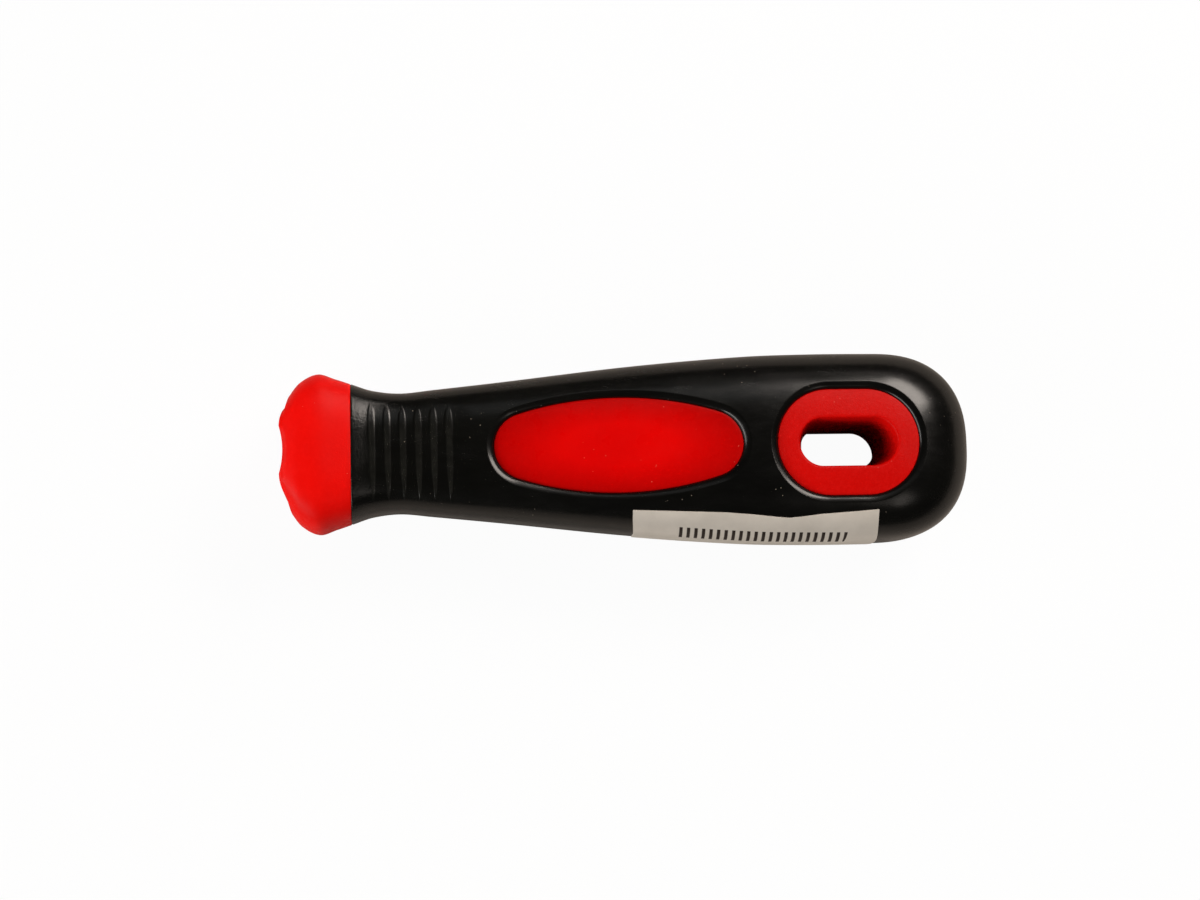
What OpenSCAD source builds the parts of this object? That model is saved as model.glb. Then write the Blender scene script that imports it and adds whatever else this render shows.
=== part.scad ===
// Push-on tool handle: hard red core regions under a black soft grip.
// +X runs from the nose to the tail, +Y across the broad face, +Z up out of the broad face.
// The origin is the centre of the tang socket's mouth, on the handle's long axis.

/* [Handle] */
// Length from the front horns to the tail
handle_len = 120; // [116:1:126]
// Half width at the nose ridge
ridge_half_w = 13.65; // [13:0.05:15]
// Half width at the waist behind the nose
waist_half_w = 10.25; // [10:0.05:11.5]
// Half width at the tail
tail_half_w = 16.5; // [16:0.05:18]
// Half thickness at the nose ridge
ridge_half_t = 10.8; // [10.4:0.1:12]
// Half thickness at the waist
waist_half_t = 9.5; // [9.3:0.1:10.5]
// Half thickness at the tail
tail_half_t = 12.4; // [12:0.1:14]

/* [Nose] */
// Distance from the front horns to the joint with the grip
joint_x = 12.1; // [11:0.1:14]
// Height of the two front horns above the socket mouth
horn_h = 0.6; // [0.3:0.1:1]
// Distance between the two front horns
horn_gap = 8.9; // [8:0.1:10]

/* [Tang socket] */
// Radius of the front stage
socket_r = 3.5; // [3:0.1:4]
// Depth of the front stage behind the mouth
socket_depth = 30; // [24:1:36]
// Radius of the rear stage that holds the tip of the tang
tip_r = 2.2; // [1.8:0.1:2.6]
// Depth of the rear stage behind the mouth
tip_depth = 58; // [50:1:66]
// Number of relief flutes along the front stage
flute_count = 4; // [3:1:6]
// Width of a relief flute
flute_w = 0.9; // [0.6:0.1:1.2]

/* [Grip] */
// Wall of the soft grip over the core
grip_wall = 2.4; // [2:0.1:3]
// Depth of the red faces below the grip's surface
recess = 0.9; // [0.6:0.1:1.2]
// Length of the oval window
oval_len = 42.6; // [38:0.2:44]
// Width of the oval window
oval_w = 16.4; // [14:0.2:17]
// Radius of the oval window's two ends
oval_end_r = 5.8; // [4:0.1:7]
// Distance from the front horns to the middle of the oval window
oval_x = 57.7; // [56:0.1:60]
// Number of ribs across the waist, on each face
rib_count = 6; // [4:1:7]
// Distance between neighbouring ribs
rib_pitch = 2.62; // [2.4:0.02:2.8]
// Distance from the front horns to the first rib
rib_x = 15.9; // [15.5:0.1:16.5]
// Height of a rib above the valley beside it
rib_h = 0.5; // [0.3:0.05:0.6]

/* [Hanging slot] */
// Distance from the front horns to the middle of the slot
slot_x = 97.25; // [95:0.05:98]
// Length of the slot at the two faces
slot_len = 16.9; // [14:0.1:17.5]
// Width of the slot at the two faces
slot_w = 8.2; // [6:0.1:9]
// Length of the slot at its neck, half way through
neck_len = 12.6; // [11:0.1:14]
// Width of the slot at its neck
neck_w = 6; // [5:0.1:6]
// Length of the sleeve round the slot
eye_len = 24.7; // [22:0.1:25]
// Width of the sleeve round the slot
eye_w = 18.4; // [16:0.1:19]

/* [Label] */
// Length of the paper label
label_len = 42.6; // [30:0.2:44]
// Distance from the front horns to the label's front edge
label_x = 59.8; // [58:0.2:64]
// Thickness of the paper
label_t = 0.12; // [0.1:0.01:0.2]
// Gap of adhesive between the paper and the grip
label_gap = 0.05; // [0.04:0.01:0.1]
// Section angle that the label covers above the broad edge
label_up = 54; // [30:1:58]
// Section angle that the label covers below the broad edge
label_down = 18; // [2:1:54]

/* [Hidden] */

red = [0.85, 0.06, 0.04];
black = [0.06, 0.06, 0.055];
paper = [0.72, 0.70, 0.66];

SIDES = 36;              // points round a section
TAIL_X = 103;            // where the rounded tail starts
TAIL_POWER = 2.45;       // bluntness of the tail
TAIL_RINGS = 11;
BODY_RINGS = 13;         // rings from the last rib to TAIL_X
NOSE_RINGS = [0, 0.7, 1.5, 2.4, 3.4, 4.4, 5.4, 6.5, 7.8, 9.5, 10.8, joint_x];
RIB_W = 0.9;             // width of a rib's crest
FLUTE_DEPTH = 0.6;
SLOT_SIDES = 48;         // points round the hanging slot

scallop_r = (horn_gap ^ 2 / 4 + horn_h ^ 2) / (2 * horn_h);
valley_r = ((rib_pitch - RIB_W) ^ 2 / 4 + rib_h ^ 2) / (2 * rib_h);
tall = 2 * tail_half_t + 6;      // taller than the handle, for through cutters
oval_floor = waist_half_t / 2;   // level inside the core where the window prisms start

// Half width, half thickness and squareness of the section at its three leading places
RIDGE = [ridge_half_w, ridge_half_t, 3.5];
WAIST = [waist_half_w, waist_half_t, 3.4];
TAIL = [tail_half_w, tail_half_t, 3.1];

function mix(a, b, share) = a * (1 - share) + b * share;

// Section stations: distance from the horns, then half width, half thickness and squareness
STATIONS = [
  [-1, 0.40 * RIDGE[0], 0.78 * RIDGE[1], 4.4],
  [0, 0.52 * RIDGE[0], 0.86 * RIDGE[1], 4.4],
  [1.5, 0.70 * RIDGE[0], 0.925 * RIDGE[1], 4.0],
  [3.4, 0.885 * RIDGE[0], 0.977 * RIDGE[1], 3.7],
  [6.5, each RIDGE],
  [9.5, each mix(RIDGE, WAIST, 0.25)],
  [12.1, each mix(RIDGE, WAIST, 0.5)],
  [15.8, each mix(RIDGE, WAIST, 0.85)],
  [20.5, each WAIST],
  [26, each mix(WAIST, TAIL, 0.085)],
  [38, each mix(WAIST, TAIL, 0.29)],
  [60, each mix(WAIST, TAIL, 0.69)],
  [80, each mix(WAIST, TAIL, 0.945)],
  [92, each TAIL],
  [TAIL_X, each TAIL],
  [handle_len, TAIL[0], TAIL[1], 2.6]
];

// Slope of a station column, by central difference
function slope(i, c) =
  let (n = len(STATIONS), a = max(i - 1, 0), b = min(i + 1, n - 1))
  (STATIONS[b][c] - STATIONS[a][c]) / (STATIONS[b][0] - STATIONS[a][0]);

// Station interval that holds x
function interval(x, i = 0) =
  (i >= len(STATIONS) - 2 || x < STATIONS[i + 1][0]) ? i : interval(x, i + 1);

// Cubic curve through the stations of column c
function along(x, c) =
  let (i = interval(x), p = STATIONS[i], q = STATIONS[i + 1],
       w = q[0] - p[0], t = (x - p[0]) / w,
       m0 = slope(i, c) * w, m1 = slope(i + 1, c) * w)
  (2 * t ^ 3 - 3 * t ^ 2 + 1) * p[c] + (t ^ 3 - 2 * t ^ 2 + t) * m0
  + (3 * t ^ 2 - 2 * t ^ 3) * q[c] + (t ^ 3 - t ^ 2) * m1;

// Shrink factor of the rounded tail, 1 at TAIL_X and 0 at the end
function tail_factor(x, end) =
  x <= TAIL_X ? 1
  : pow(max(0, 1 - pow((x - TAIL_X) / (end - TAIL_X), TAIL_POWER)), 1 / TAIL_POWER);

// Half width and half thickness at x, drawn in by inset
function half_w(x, inset) = (along(x, 1) - inset) * tail_factor(x, handle_len - inset);
function half_t(x, inset) = (along(x, 2) - inset) * tail_factor(x, handle_len - inset);

function signed_pow(v, e) = sign(v) * pow(abs(v), e);

// Point of the section at x, at angle a from +Y towards +Z
function skin_point(x, a, inset) =
  let (e = 2 / along(x, 3))
  [x, half_w(x, inset) * signed_pow(cos(a), e), half_t(x, inset) * signed_pow(sin(a), e)];

function ring(x, inset) = [for (k = [0:SIDES - 1]) skin_point(x, 360 * k / SIDES, inset)];

// Ring positions of the tail, closer together towards its end
function tail_steps(end) =
  [for (k = [1:TAIL_RINGS - 1]) TAIL_X + (end - TAIL_X) * sin(90 * k / TAIL_RINGS)];

function flatten(rows) = [for (row = rows) each row];

// Ring positions of the ribs and of the valleys beside them
function rib_steps() = [for (k = [-0.5:0.5:rib_count - 0.5]) rib_x + k * rib_pitch];

// Even ring positions from the last rib's valley to TAIL_X
function body_steps() =
  let (first = rib_x + (rib_count - 0.5) * rib_pitch)
  [for (k = [1:BODY_RINGS]) first + (TAIL_X - first) * k / BODY_RINGS];

// Triangles round a tube through rings that have the same number of points
function tube(rings, sides) = flatten([for (i = [0:rings - 2], k = [0:sides - 1])
  let (a = i * sides + k, b = i * sides + (k + 1) % sides)
  [[a, a + sides, b], [b, a + sides, b + sides]]]);

// Closed body through rings at xs, with a flat front and either a flat back or a pole
module skin(xs, inset, pole) {
  rings = len(xs);
  rows = flatten([for (x = xs) ring(x, inset)]);
  back = rings * SIDES;
  points = concat(rows, pole ? [[handle_len - inset, 0, 0]] : []);
  front = [[for (k = [0:SIDES - 1]) k]];
  last = (rings - 1) * SIDES;
  cap = pole
    ? [for (k = [0:SIDES - 1]) [last + (k + 1) % SIDES, last + k, back]]
    : [[for (k = [SIDES - 1:-1:0]) last + k]];
  polyhedron(points = points, faces = concat(front, tube(rings, SIDES), cap), convexity = 4);
}

// Handle body behind the joint, drawn in by inset and carried forward by lead
module body(inset, lead = 0) {
  front = lead > 0 ? [joint_x - lead, joint_x] : [joint_x];
  skin(concat(front, rib_steps(), body_steps(), tail_steps(handle_len - inset)), inset, true);
}

// Outline of the oval window: two end arcs and two long arcs that meet without a corner
function oval_outline() =
  let (
    a = oval_len / 2, b = oval_w / 2, r = oval_end_r,
    side_r = ((a - r) ^ 2 + b ^ 2 - r ^ 2) / (2 * (b - r)),
    turn = atan2(side_r - b, a - r),
    end_arc = [for (k = [0:5]) let (t = turn * k / 6) [a - r + r * cos(t), r * sin(t)]],
    side_arc = [for (k = [0:6]) let (t = turn + (90 - turn) * k / 6)
      [side_r * cos(t), b - side_r + side_r * sin(t)]],
    quarter = concat(end_arc, side_arc),
    last = len(quarter) - 1,
    half = concat(quarter, [for (k = [last - 1:-1:0]) [-quarter[k].x, quarter[k].y]]))
  concat(half, [for (k = [len(half) - 2:-1:1]) [half[k].x, -half[k].y]]);

// Prism of the oval window, on the side of the handle that sign gives
module oval_prism(side) {
  height = tall / 2 - oval_floor;
  translate([oval_x, 0, side > 0 ? oval_floor : -oval_floor - height])
    linear_extrude(height)
      polygon(oval_outline());
}

// Upright prism with round ends, centred on the slot
module slot_prism(length, width) {
  run = (length - width) / 2;
  translate([slot_x, 0, 0]) {
    translate([-run, 0, 0]) cylinder(h = tall, d = width, center = true, $fn = 48);
    translate([run, 0, 0]) cylinder(h = tall, d = width, center = true, $fn = 48);
    cube([2 * run, width, tall], center = true);
  }
}

// Ring with round ends at height z, centred on the slot
function slot_ring(length, width, z) =
  let (r = width / 2, run = length / 2 - r)
  [for (k = [0:SLOT_SIDES - 1])
    let (a = 360 * (k + 0.5) / SLOT_SIDES)
    [slot_x + sign(cos(a)) * run + r * cos(a), r * sin(a), z]];

// Cutter of the hanging slot, which narrows from both faces to a neck in the middle plane
module slot_taper() {
  reach = tall / 2;
  grow = reach / (tail_half_t - recess);
  wide = [mix(neck_len, slot_len, grow), mix(neck_w, slot_w, grow)];
  points = concat(slot_ring(wide[0], wide[1], -reach), slot_ring(neck_len, neck_w, 0),
                  slot_ring(wide[0], wide[1], reach));
  bottom = [[for (k = [0:SLOT_SIDES - 1]) k]];
  top = [[for (k = [3 * SLOT_SIDES - 1:-1:2 * SLOT_SIDES]) k]];
  polyhedron(points = points, faces = concat(bottom, tube(3, SLOT_SIDES), top), convexity = 4);
}

// Both stages of the tang socket, bored along the long axis from in front of the horns
module tang_socket() {
  rotate([0, 90, 0]) {
    translate([0, 0, -1]) cylinder(h = 1 + horn_h + socket_depth, r = socket_r, $fn = 48);
    cylinder(h = horn_h + tip_depth, r = tip_r, $fn = 48);
  }
}

// Relief flutes along the front stage of the socket
module flutes() {
  for (k = [0:flute_count - 1])
    rotate([360 * (k + 0.5) / flute_count, 0, 0])
      translate([joint_x - 1, -flute_w / 2, socket_r - 1])
        cube([socket_depth - joint_x, flute_w, 1 + FLUTE_DEPTH]);
}

// Scoops between the ribs, on both faces
module rib_valleys() {
  for (side = [-1, 1], k = [-1:rib_count - 2]) {
    x = rib_x + (k + 0.5) * rib_pitch;
    translate([x, 0, side * (half_t(x, 0) - rib_h + valley_r)])
      rotate([90, 0, 0])
        cylinder(h = 2 * ridge_half_w, r = valley_r, center = true, $fn = 32);
  }
}

// Red front collar with the ridge and the two front horns
module nose_collar() {
  color(red)
    translate([-horn_h, 0, 0])
      difference() {
        skin(NOSE_RINGS, 0, false);
        translate([horn_h - scallop_r, 0, 0])
          cylinder(h = tall, r = scallop_r, center = true, $fn = 96);
        tang_socket();
      }
}

// Hard inner body that carries the tang, closed at the tail
module core_spine() {
  color(red)
    translate([-horn_h, 0, 0])
      difference() {
        body(grip_wall);
        tang_socket();
        flutes();
        slot_prism(eye_len, eye_w);
      }
}

// Smooth oval pad in the grip's window, on the side that sign gives
module oval_inlay(side) {
  color(red)
    translate([-horn_h, 0, 0])
      difference() {
        intersection() {
          body(recess);
          oval_prism(side);
        }
        body(grip_wall);
      }
}

module oval_inlay_upper() { oval_inlay(1); }
module oval_inlay_lower() { oval_inlay(-1); }

// Sleeve right through the tail, round the hanging slot
module hang_eye() {
  color(red)
    translate([-horn_h, 0, 0])
      difference() {
        intersection() {
          body(recess);
          slot_prism(eye_len, eye_w);
        }
        slot_taper();
      }
}

// Soft black grip over the core, with its windows and its ribbed waist
module grip_shell() {
  color(black)
    translate([-horn_h, 0, 0])
      difference() {
        body(0);
        body(grip_wall, 1);
        oval_prism(1);
        oval_prism(-1);
        slot_prism(eye_len, eye_w);
        rib_valleys();
      }
}

// Paper label round the -Y edge of the grip, from the upper face to just below the edge
module paper_label() {
  color(paper)
    translate([-horn_h, 0, 0])
      label_strip(14, 14, 180 - label_up, 180 + label_down);
}

// Thin curved strip between two angles round the section
module label_strip(lengths, turns, first, last) {
  cols = turns + 1;
  count = (lengths + 1) * cols;
  sheet = function (inset)
    [for (i = [0:lengths], k = [0:turns])
      skin_point(label_x + label_len * i / lengths, first + (last - first) * k / turns, inset)];
  inner = sheet(-label_gap);
  outer = sheet(-label_gap - label_t);
  quads = flatten([for (i = [0:lengths - 1], k = [0:turns - 1])
    let (a = i * cols + k)
    [[a, a + cols, a + 1], [a + 1, a + cols, a + cols + 1]]]);
  top = [for (f = quads) [f[0] + count, f[1] + count, f[2] + count]];
  bottom = [for (f = quads) [f[2], f[1], f[0]]];
  rim = concat(
    [for (k = [0:turns - 1]) [k, k + 1]],
    [for (i = [0:lengths - 1]) [i * cols + turns, (i + 1) * cols + turns]],
    [for (k = [turns:-1:1]) [lengths * cols + k, lengths * cols + k - 1]],
    [for (i = [lengths:-1:1]) [i * cols, (i - 1) * cols]]);
  edge = flatten([for (e = rim)
    [[e[0], e[0] + count, e[1]], [e[1], e[0] + count, e[1] + count]]]);
  polyhedron(points = concat(inner, outer), faces = concat(bottom, top, edge), convexity = 4);
}

nose_collar();
core_spine();
oval_inlay_upper();
oval_inlay_lower();
hang_eye();
grip_shell();
paper_label();
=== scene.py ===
"""Looks of a push-on tool handle: red nose, windows and hanging eye under a black soft grip."""

import math

import bmesh
import bpy
import numpy as np
from mathutils import Matrix, Vector


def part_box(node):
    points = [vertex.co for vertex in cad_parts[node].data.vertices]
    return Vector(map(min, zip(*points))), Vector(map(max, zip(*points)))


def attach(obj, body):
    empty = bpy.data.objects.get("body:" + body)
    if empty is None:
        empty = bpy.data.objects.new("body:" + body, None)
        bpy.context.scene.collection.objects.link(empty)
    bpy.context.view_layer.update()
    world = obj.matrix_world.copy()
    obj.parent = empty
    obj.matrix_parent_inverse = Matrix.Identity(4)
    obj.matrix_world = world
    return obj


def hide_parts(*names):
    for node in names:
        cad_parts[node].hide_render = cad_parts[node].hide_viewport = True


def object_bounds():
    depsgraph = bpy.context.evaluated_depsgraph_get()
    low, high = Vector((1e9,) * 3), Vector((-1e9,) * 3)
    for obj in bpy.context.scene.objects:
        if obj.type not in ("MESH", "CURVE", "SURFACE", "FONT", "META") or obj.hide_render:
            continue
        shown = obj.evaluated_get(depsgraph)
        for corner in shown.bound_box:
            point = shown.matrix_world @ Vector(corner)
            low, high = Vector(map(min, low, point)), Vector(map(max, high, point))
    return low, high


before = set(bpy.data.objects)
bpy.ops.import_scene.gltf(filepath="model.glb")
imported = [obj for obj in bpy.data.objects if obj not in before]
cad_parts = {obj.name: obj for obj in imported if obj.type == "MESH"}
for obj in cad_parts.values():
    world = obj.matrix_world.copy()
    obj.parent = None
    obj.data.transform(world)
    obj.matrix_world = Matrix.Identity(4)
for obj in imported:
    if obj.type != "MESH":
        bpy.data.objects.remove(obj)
CAD_LOW, CAD_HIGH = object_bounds()

MM = 0.001
SHARP_ANGLE = math.radians(50)

# ---------------------------------------------------------------- sizes, in millimetres
# Every x below is a distance from the two front horns, which stand HORN_H ahead of the
# socket's mouth, where the frame has its origin.
HORN_H = -CAD_LOW.x / MM
HANDLE_LEN = CAD_HIGH.x / MM + HORN_H
JOINT_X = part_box("nose_collar")[1].x / MM + HORN_H
TAIL_X = 103.0  # where the tail starts to round off
TAIL_POWER = 2.45  # squareness of the tail's end in plan
GRIP_WALL = 2.4
# The pads and the eye lie this far under the skin of the grip
RECESS = (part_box("grip_shell")[1].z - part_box("hang_eye")[1].z) / MM

# Half width, half thickness and squareness of the section at its three leading places
RIDGE = np.array([13.65, 10.8, 3.5])
WAIST = np.array([10.25, 9.5, 3.4])
TAIL = np.array([16.5, 12.4, 3.1])


def mix(a, b, share):
    return a * (1 - share) + b * share


def steps(count):
    """Even shares up to 1, without the 0."""
    return np.linspace(0, 1, count + 1)[1:]


def station(x, section):
    return [x, *section]


# x, half width, half thickness and squareness
STATIONS = np.array([
    [-1, 0.40 * RIDGE[0], 0.78 * RIDGE[1], 4.4],
    [0, 0.52 * RIDGE[0], 0.86 * RIDGE[1], 4.4],
    [1.5, 0.70 * RIDGE[0], 0.925 * RIDGE[1], 4.0],
    [3.4, 0.885 * RIDGE[0], 0.977 * RIDGE[1], 3.7],
    station(6.5, RIDGE),
    station(9.5, mix(RIDGE, WAIST, 0.25)),
    station(12.1, mix(RIDGE, WAIST, 0.5)),
    station(15.8, mix(RIDGE, WAIST, 0.85)),
    station(20.5, WAIST),
    station(26, mix(WAIST, TAIL, 0.085)),
    station(38, mix(WAIST, TAIL, 0.29)),
    station(60, mix(WAIST, TAIL, 0.69)),
    station(80, mix(WAIST, TAIL, 0.945)),
    station(92, TAIL),
    station(TAIL_X, TAIL),
    [HANDLE_LEN, TAIL[0], TAIL[1], 2.6],
])
WIDTH, THICKNESS, SQUARENESS = 1, 2, 3

# Nose
SOCKET_R = 3.5
MOUTH_R = 3.9  # radius of the socket's lead-in at the mouth
LEAD_IN = 0.5
HORN_GAP = 8.1  # between the tips of the horns
SHOULDER_DROP = 0.076  # how fast the front falls away outside the horns
RIM_R = 0.55  # rounding between the front and the sides
EDGE_DROP = 0.13  # rounding of both parts along their joint
EDGE_RUN = 0.22
EDGE_STEPS = np.array([0, 0.15, 0.35, 0.6, 1])  # mesh rings over that rounding

# Grip
RIB_COUNT = 6
RIB_PITCH = 2.62
RIB_X = 15.9  # middle of the first rib's foot
RIB_H = 0.075  # height of a rib
RIB_HALF = (0.8, 0.95)  # half width of the first and of the last rib
RIB_TOP = (7.5, 6.5)  # +Y end of the first and of the last rib
RIB_FOOT = (-9.0, -8.3)  # -Y end of the first and of the last rib
RIB_SWAY = 0.32  # how far a rib's head stands nearer to the nose than its foot
RIB_CREST = 0.5  # half width of its crest, as a share of the rib's
RIB_STEPS = np.array([0, 0.25, 0.45, 0.6, 0.7, 0.8, 0.9, 1, 1.15])  # mesh lines, in half widths
RIB_SHEEN_SPAN = (0.14, 0.24)  # where its painted sheen fades and ends, in pitches from its middle
RIB_FADE = (4.0, 1.5)  # length over which that painted sheen fades at the head and at the foot
RIB_SLIM = 5.0  # length of the foot over which it narrows
SCOOP = 0.14  # depth of the shallow waist that the ribs stand in
RIB_ZONE_END = 33.0
AHEAD_RINGS, BEHIND_RINGS = 16, 14  # mesh rings before the ribs and after them
INNER_RINGS = 14  # mesh rings of the grip's inner skin over the same stretch
SCUFF_RUN = 6.5  # length of the scuffed skin beside the nose
OVAL_END_R = 5.8  # radius of the oval's two ends
LIP_W = 1.35  # width of the rounded lip round a window
LIP_DEPTH = 0.93
LIP_STEPS = (0.04, 0.08, 0.13, 0.2, 0.3, 0.42, 0.55, 0.68, 0.78, 0.86, 0.93, 1.0)
BLOCK_SHARE = 0.75  # share of the half width that the window blocks take up
BLOCK_X = 82.4  # ring between the oval's block and the eye's block
OVAL_RINGS, EYE_RINGS = 64, 26  # mesh rings up to there, and on to the rounded tail
EYE_BLOCK_RING = 12  # tail ring that ends the eye's block

# Pads and hanging eye
RED_EDGE = 0.12  # rounding of the outer edge of a pad or of the eye
OUTLINE_POINTS = 240
SLOT_LEN = 16.9
SLOT_W = 8.2
SLOT_EDGE = 0.5  # rounding of the slot's two mouths
SLOT_NECK = (12.6, 6.5, 2.6)  # length, width and corner radius half way through
NECK_BEND = 0.05  # rounding between the slot's two drafts, as a share of the half depth
BORE_PAINTED_SHADE = (4.0, 10.9)  # height up to which the painted shade on its walls is darkest, and where it ends

# Label
LABEL_EDGE = np.array([  # x and y along its upper edge, which dips beside the eye
    [59.9, -11.1], [68, -11.45], [76, -11.8], [81, -12.25], [84.5, -12.65], [86.8, -12.85],
    [89.2, -12.65], [92.3, -12.3], [98, -11.95], [102.2, -11.65],
])
LABEL_FOOT = (17.0, 12.5)  # section angle below the broad edge at its two ends
LABEL_LEAN = 0.8  # how far its two short edges lean towards the tail on their way down
LABEL_CORNER = 3.5  # radius of its two lower corners
LABEL_GAP = 0.045  # paste under the paper
LABEL_T = 0.12
LABEL_COLUMNS, LABEL_ROWS = 127, 49  # mesh lines along it and across it
BAR_PITCH = 1.3  # printed bars, in the frame's own x and z
BAR_LEAN = 0.07
BAR_SIDE = (0.2, 0.25)  # where a bar starts to fade and ends, in pitches from its middle
BAR_X = (67.4, 96.6)
BAR_Z = (3.6, 7.9)


def box_size(node):
    """Middle x from the horns, length and width of a CAD node."""
    low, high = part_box(node)
    return (low.x + high.x) / 2 / MM + HORN_H, (high.x - low.x) / MM, (high.y - low.y) / MM


OVAL_X, OVAL_LEN, OVAL_W = box_size("oval_inlay_upper")
EYE_X, EYE_LEN, EYE_W = box_size("hang_eye")


# ---------------------------------------------------------------- the handle's section
def along(x, column):
    """Cubic curve through one column of the stations."""
    xs, v = STATIONS[:, 0], STATIONS[:, column]
    before = np.maximum(np.arange(len(xs)) - 1, 0)
    after = np.minimum(np.arange(len(xs)) + 1, len(xs) - 1)
    slope = (v[after] - v[before]) / (xs[after] - xs[before])
    i = np.clip(np.searchsorted(xs, x, side="right") - 1, 0, len(xs) - 2)
    w = xs[i + 1] - xs[i]
    t = (x - xs[i]) / w
    return (
        (2 * t**3 - 3 * t**2 + 1) * v[i]
        + (t**3 - 2 * t**2 + t) * slope[i] * w
        + (3 * t**2 - 2 * t**3) * v[i + 1]
        + (t**3 - t**2) * slope[i + 1] * w
    )


def tail_factor(x, end):
    """Shrink of the section over the rounded tail, 0 at its end."""
    t = np.clip((x - TAIL_X) / (end - TAIL_X), 0, 1)
    return (1 - t**TAIL_POWER) ** (1 / TAIL_POWER)


def half_size(x, column, inset):
    return (along(x, column) - inset) * tail_factor(x, HANDLE_LEN - inset)


def skin_point(x, angle, inset=0.0):
    """Point of the section at x, at an angle from +Y towards +Z."""
    x, angle, inset = np.broadcast_arrays(x, angle, inset)
    e = 2 / along(x, SQUARENESS)
    c, s = np.cos(angle), np.sin(angle)
    y = half_size(x, WIDTH, inset) * np.sign(c) * np.abs(c) ** e
    z = half_size(x, THICKNESS, inset) * np.sign(s) * np.abs(s) ** e
    return np.stack([x, y, z], -1)


def face_z(x, y, inset=0.0):
    """Height of the upper broad face over a point of the plan."""
    n = along(x, SQUARENESS)
    share = np.clip(np.abs(y) / half_size(x, WIDTH, inset), 0, 1)
    return half_size(x, THICKNESS, inset) * (1 - share**n) ** (1 / n)


def smooth(x, start, end):
    t = np.clip((x - start) / (end - start), 0, 1)
    return t * t * (3 - 2 * t)


def column_angles(side, top):
    """Section angles, even in arc length over each side and over each broad face."""
    fine = np.linspace(0, math.pi / 2, 4000)
    p = skin_point(70.0, fine)
    arc = np.concatenate([[0], np.cumsum(np.linalg.norm(np.diff(p, axis=0), axis=1))])
    corner = np.argmin(np.abs(p[:, 1] - BLOCK_SHARE * p[0, 1]))
    low = np.interp(np.linspace(0, arc[corner], side + 1), arc, fine)
    high = np.interp(np.linspace(arc[corner], arc[-1], top + 1), arc, fine)
    quarter = np.concatenate([low, high[1:]])
    half = np.concatenate([quarter, math.pi - quarter[-2::-1]])
    return np.concatenate([half[:-1], math.pi + half[:-1]])


SIDE_COLUMNS, TOP_COLUMNS = 20, 25  # mesh columns over a quarter's side and over its face
ANGLES = column_angles(SIDE_COLUMNS, TOP_COLUMNS)
UPPER_COLUMNS = (SIDE_COLUMNS, SIDE_COLUMNS + 2 * TOP_COLUMNS)
LOWER_COLUMNS = tuple(c + len(ANGLES) // 2 for c in UPPER_COLUMNS)


# ---------------------------------------------------------------- outlines in plan
def oval(s, length, width):
    """Points and outward normals round an oval of four arcs, s from 0 to 1."""
    a, b, r = length / 2, width / 2, OVAL_END_R
    side_r = ((a - r) ** 2 + b**2 - r**2) / (2 * (b - r))
    turn = math.atan2(side_r - b, a - r)  # normal's angle where an end arc meets a side arc
    end, side = r * turn, side_r * (math.pi / 2 - turn)
    d = (np.asarray(s) % 1) * 4 * (end + side)
    quarter = np.floor(d / (end + side)).clip(0, 3)
    flip = quarter % 2 == 1
    into = d - quarter * (end + side)
    into = np.where(flip, end + side - into, into)
    angle = np.where(into < end, into / r, turn + (into - end) / side_r)
    on_end = into < end
    x = np.where(on_end, a - r + r * np.cos(angle), side_r * np.cos(angle))
    y = np.where(on_end, r * np.sin(angle), b - side_r + side_r * np.sin(angle))
    sign_x = np.where((quarter == 1) | (quarter == 2), -1, 1)
    sign_y = np.where(quarter >= 2, -1, 1)
    point = np.stack([sign_x * x, sign_y * y], -1)
    return point, np.stack([sign_x * np.cos(angle), sign_y * np.sin(angle)], -1)


def slot(s, length, width, corner=None):
    """Points and outward normals round a box with round corners, or with round ends."""
    r = width / 2 if corner is None else corner
    run, rise, arc = length / 2 - r, width / 2 - r, math.pi * r / 2
    ends = np.cumsum([rise, arc, 2 * run, arc, 2 * rise, arc, 2 * run, arc, rise])
    d = (s % 1) * ends[-1]
    k = np.searchsorted(ends, d, side="right").clip(0, 8)
    into = d - (ends - np.diff(ends, prepend=0))[k]
    # Nine stretches from the middle of the +X end: straights have even numbers, corners odd
    before = np.array([0, 0, 1, 1, 2, 2, 3, 3, 0])[k] * math.pi / 2
    turn = np.where(k % 2 == 1, before + into / r, before)
    side_x = np.array([1, 1, 0, -1, -1, -1, 0, 1, 1])[k] * run
    side_y = np.array([0, 1, 1, 1, 0, -1, -1, -1, 0])[k] * rise
    x = np.select([k == 2, k == 6], [run - into, into - run], side_x)
    y = np.select([k == 0, k == 4, k == 8], [into, rise - into, into - rise], side_y)
    normal = np.stack([np.cos(turn), np.sin(turn)], -1)
    return normal * r + np.stack([x, y], -1), normal


def matched(outline, length, width, plan, centre_x):
    """Places round an outline that face the points of a loop in plan."""
    s = np.linspace(0, 1, 3001)[:-1]
    p, _ = outline(s, length, width)
    own = np.unwrap(np.arctan2(p[:, 1] / width, p[:, 0] / length))
    reach = np.abs(plan - [centre_x, 0]).max(0)
    seen = np.arctan2(plan[:, 1] / reach[1], (plan[:, 0] - centre_x) / reach[0])
    whole = np.concatenate([own - 2 * math.pi, own, own + 2 * math.pi])
    return np.interp(seen, whole, np.concatenate([s - 1, s, s + 1])) % 1


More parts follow.
